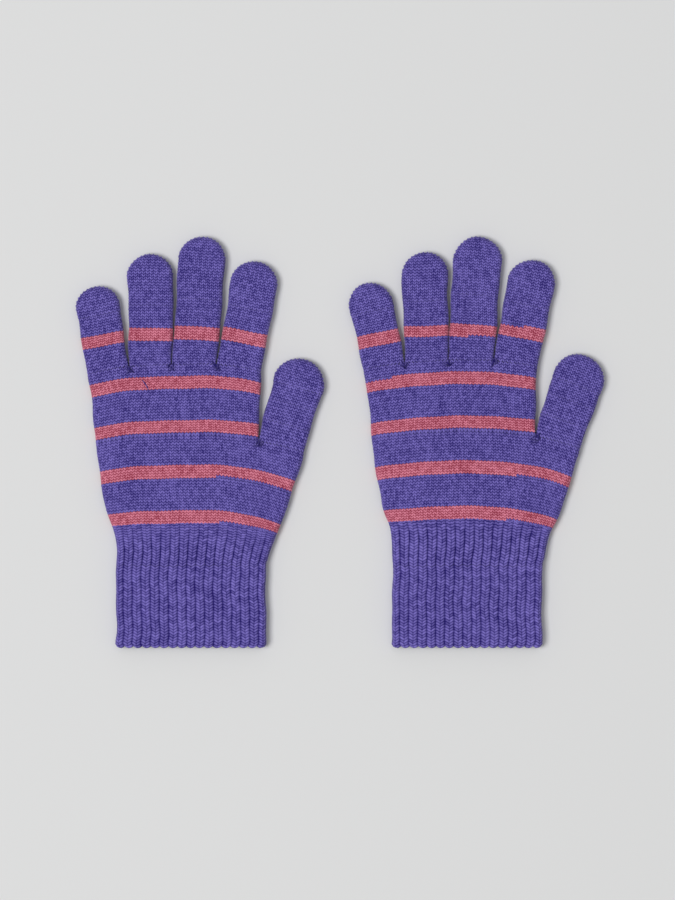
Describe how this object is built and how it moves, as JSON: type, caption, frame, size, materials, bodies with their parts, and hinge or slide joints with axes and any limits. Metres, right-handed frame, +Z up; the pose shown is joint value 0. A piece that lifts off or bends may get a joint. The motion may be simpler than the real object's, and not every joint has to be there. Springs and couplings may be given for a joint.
{
  "type": "pair of knitted gloves",
  "caption": "Pair of striped knitted gloves with ribbed elasticated cuffs, lying flat; hollow fingers and thumbs that fold at their knuckles.",
  "frame": {"origin": "middle of the pair's footprint, on the surface that the gloves lie on", "axes": "+X from the left glove to the right glove, the way the thumbs point; +Y from the hems to the fingertips; +Z up from the surface"},
  "size_m": [0.2572, 0.2, 0.008],
  "materials": {
    "purple_yarn": "soft acrylic stocking stitch, matt with a fine fuzz",
    "pink_yarn": "soft acrylic stocking stitch, matt with a fine fuzz",
    "purple_rib": "soft acrylic ribbing, matt with a fine fuzz",
    "purple_darning": "darned yarn ends",
    "elastic_thread": "covered elastic thread, dull"
  },
  "bodies": {
    "left_cuff": {"left_cuff": "purple_rib", "left_cuff_elastic": "elastic_thread"},
    "left_little_finger": {"left_little_stripe": "pink_yarn", "left_little_knuckle_band": "purple_yarn"},
    "left_little_fingertip": {"left_little_tip": "purple_yarn"},
    "left_ring_finger": {"left_ring_stripe": "pink_yarn", "left_ring_knuckle_band": "purple_yarn"},
    "left_ring_fingertip": {"left_ring_tip": "purple_yarn"},
    "left_middle_finger": {"left_middle_stripe": "pink_yarn", "left_middle_knuckle_band": "purple_yarn"},
    "left_middle_fingertip": {"left_middle_tip": "purple_yarn"},
    "left_index_finger": {"left_index_stripe": "pink_yarn", "left_index_knuckle_band": "purple_yarn"},
    "left_index_fingertip": {"left_index_tip": "purple_yarn"},
    "left_thumb": {"left_thumb_tube": "purple_yarn", "left_thumb_knuckle_band": "purple_yarn"},
    "left_thumbtip": {"left_thumb_tip": "purple_yarn"},
    "left_hand": {"left_cuff_top": "purple_rib", "left_wrist_stripe": "pink_yarn", "left_lower_palm": "purple_yarn", "left_lower_palm_stripe": "pink_yarn", "left_upper_palm": "purple_yarn", "left_upper_palm_stripes": "pink_yarn", "left_crotch_stitches": "purple_darning", "left_little_base_band": "purple_yarn", "left_ring_base_band": "purple_yarn", "left_middle_base_band": "purple_yarn", "left_index_base_band": "purple_yarn", "left_thumb_base_band": "purple_yarn"},
    "right_cuff": {"right_cuff": "purple_rib", "right_cuff_elastic": "elastic_thread"},
    "right_little_finger": {"right_little_stripe": "pink_yarn", "right_little_knuckle_band": "purple_yarn"},
    "right_little_fingertip": {"right_little_tip": "purple_yarn"},
    "right_ring_finger": {"right_ring_stripe": "pink_yarn", "right_ring_knuckle_band": "purple_yarn"},
    "right_ring_fingertip": {"right_ring_tip": "purple_yarn"},
    "right_middle_finger": {"right_middle_stripe": "pink_yarn", "right_middle_knuckle_band": "purple_yarn"},
    "right_middle_fingertip": {"right_middle_tip": "purple_yarn"},
    "right_index_finger": {"right_index_stripe": "pink_yarn", "right_index_knuckle_band": "purple_yarn"},
    "right_index_fingertip": {"right_index_tip": "purple_yarn"},
    "right_thumb": {"right_thumb_tube": "purple_yarn", "right_thumb_knuckle_band": "purple_yarn"},
    "right_thumbtip": {"right_thumb_tip": "purple_yarn"},
    "right_hand": {"right_cuff_top": "purple_rib", "right_wrist_stripe": "pink_yarn", "right_lower_palm": "purple_yarn", "right_lower_palm_stripe": "pink_yarn", "right_upper_palm": "purple_yarn", "right_upper_palm_stripes": "pink_yarn", "right_crotch_stitches": "purple_darning", "right_little_base_band": "purple_yarn", "right_ring_base_band": "purple_yarn", "right_middle_base_band": "purple_yarn", "right_index_base_band": "purple_yarn", "right_thumb_base_band": "purple_yarn"}
  },
  "joints": [
    {"name": "left_wrist_fold", "type": "hinge", "parent": "left_hand", "child": "left_cuff", "pos_m": [-0.07227, -0.05, 0.004], "axis": [-1, 0, 0], "range_deg": [0, 80], "deforming": ["left_cuff_top"]},
    {"name": "left_little_base_fold", "type": "hinge", "parent": "left_hand", "child": "left_little_finger", "pos_m": [-0.11437, 0.04142, 0.0036], "axis": [1, 0, 0], "range_deg": [0, 90], "deforming": ["left_little_base_band"]},
    {"name": "left_little_knuckle_fold", "type": "hinge", "parent": "left_little_finger", "child": "left_little_fingertip", "pos_m": [-0.11693, 0.05761, 0.0036], "axis": [0.9877, 0.1564, 0], "range_deg": [0, 90], "deforming": ["left_little_knuckle_band"]},
    {"name": "left_ring_base_fold", "type": "hinge", "parent": "left_hand", "child": "left_ring_finger", "pos_m": [-0.09297, 0.04391, 0.0036], "axis": [1, 0, 0], "range_deg": [0, 90], "deforming": ["left_ring_base_band"]},
    {"name": "left_ring_knuckle_fold", "type": "hinge", "parent": "left_ring_finger", "child": "left_ring_fingertip", "pos_m": [-0.09297, 0.06251, 0.0036], "axis": [1, 0, 0], "range_deg": [0, 90], "deforming": ["left_ring_knuckle_band"]},
    {"name": "left_middle_base_fold", "type": "hinge", "parent": "left_hand", "child": "left_middle_finger", "pos_m": [-0.07058, 0.04438, 0.0036], "axis": [1, 0, 0], "range_deg": [0, 90], "deforming": ["left_middle_base_band"]},
    {"name": "left_middle_knuckle_fold", "type": "hinge", "parent": "left_middle_finger", "child": "left_middle_fingertip", "pos_m": [-0.06896, 0.06542, 0.0036], "axis": [0.9971, -0.0767, 0], "range_deg": [0, 90], "deforming": ["left_middle_knuckle_band"]},
    {"name": "left_index_base_fold", "type": "hinge", "parent": "left_hand", "child": "left_index_finger", "pos_m": [-0.04817, 0.04316, 0.0036], "axis": [1, 0, 0], "range_deg": [0, 90], "deforming": ["left_index_base_band"]},
    {"name": "left_index_knuckle_fold", "type": "hinge", "parent": "left_index_finger", "child": "left_index_fingertip", "pos_m": [-0.04478, 0.06094, 0.0036], "axis": [0.9823, -0.1874, 0], "range_deg": [0, 90], "deforming": ["left_index_knuckle_band"]},
    {"name": "left_thumb_base_fold", "type": "hinge", "parent": "left_hand", "child": "left_thumb", "pos_m": [-0.02685, 0.00447, 0.0036], "axis": [0.9588, -0.284, 0], "range_deg": [0, 80], "deforming": ["left_thumb_base_band"]},
    {"name": "left_thumb_knuckle_fold", "type": "hinge", "parent": "left_thumb", "child": "left_thumbtip", "pos_m": [-0.02154, 0.0224, 0.0036], "axis": [0.9588, -0.284, 0], "range_deg": [0, 80], "deforming": ["left_thumb_knuckle_band"]},
    {"name": "right_wrist_fold", "type": "hinge", "parent": "right_hand", "child": "right_cuff", "pos_m": [0.06203, -0.05, 0.004], "axis": [-1, 0, 0], "range_deg": [0, 80], "deforming": ["right_cuff_top"]},
    {"name": "right_little_base_fold", "type": "hinge", "parent": "right_hand", "child": "right_little_finger", "pos_m": [0.01971, 0.04338, 0.0036], "axis": [1, 0, 0], "range_deg": [0, 90], "deforming": ["right_little_base_band"]},
    {"name": "right_little_knuckle_fold", "type": "hinge", "parent": "right_little_finger", "child": "right_little_fingertip", "pos_m": [0.01658, 0.05948, 0.0036], "axis": [0.9816, 0.1908, 0], "range_deg": [0, 90], "deforming": ["right_little_knuckle_band"]},
    {"name": "right_ring_base_fold", "type": "hinge", "parent": "right_hand", "child": "right_ring_finger", "pos_m": [0.04133, 0.04591, 0.0036], "axis": [1, 0, 0], "range_deg": [0, 90], "deforming": ["right_ring_base_band"]},
    {"name": "right_ring_knuckle_fold", "type": "hinge", "parent": "right_ring_finger", "child": "right_ring_fingertip", "pos_m": [0.04133, 0.06451, 0.0036], "axis": [1, 0, 0], "range_deg": [0, 90], "deforming": ["right_ring_knuckle_band"]},
    {"name": "right_middle_base_fold", "type": "hinge", "parent": "right_hand", "child": "right_middle_finger", "pos_m": [0.06379, 0.04637, 0.0036], "axis": [1, 0, 0], "range_deg": [0, 90], "deforming": ["right_middle_base_band"]},
    {"name": "right_middle_knuckle_fold", "type": "hinge", "parent": "right_middle_finger", "child": "right_middle_fingertip", "pos_m": [0.06563, 0.06739, 0.0036], "axis": [0.9962, -0.0872, 0], "range_deg": [0, 90], "deforming": ["right_middle_knuckle_band"]},
    {"name": "right_index_base_fold", "type": "hinge", "parent": "right_hand", "child": "right_index_finger", "pos_m": [0.0862, 0.04515, 0.0036], "axis": [1, 0, 0], "range_deg": [0, 90], "deforming": ["right_index_base_band"]},
    {"name": "right_index_knuckle_fold", "type": "hinge", "parent": "right_index_finger", "child": "right_index_fingertip", "pos_m": [0.08977, 0.06289, 0.0036], "axis": [0.9803, -0.1977, 0], "range_deg": [0, 90], "deforming": ["right_index_knuckle_band"]},
    {"name": "right_thumb_base_fold", "type": "hinge", "parent": "right_hand", "child": "right_thumb", "pos_m": [0.10778, 0.00636, 0.0036], "axis": [0.9397, -0.342, 0], "range_deg": [0, 80], "deforming": ["right_thumb_base_band"]},
    {"name": "right_thumb_knuckle_fold", "type": "hinge", "parent": "right_thumb", "child": "right_thumbtip", "pos_m": [0.11418, 0.02393, 0.0036], "axis": [0.9397, -0.342, 0], "range_deg": [0, 80], "deforming": ["right_thumb_knuckle_band"]},
    {"name": "gloves_apart", "type": "slide", "parent": "left_hand", "child": "right_hand", "axis": [1, 0, 0], "range_m": [0, 0.15]}
  ]
}
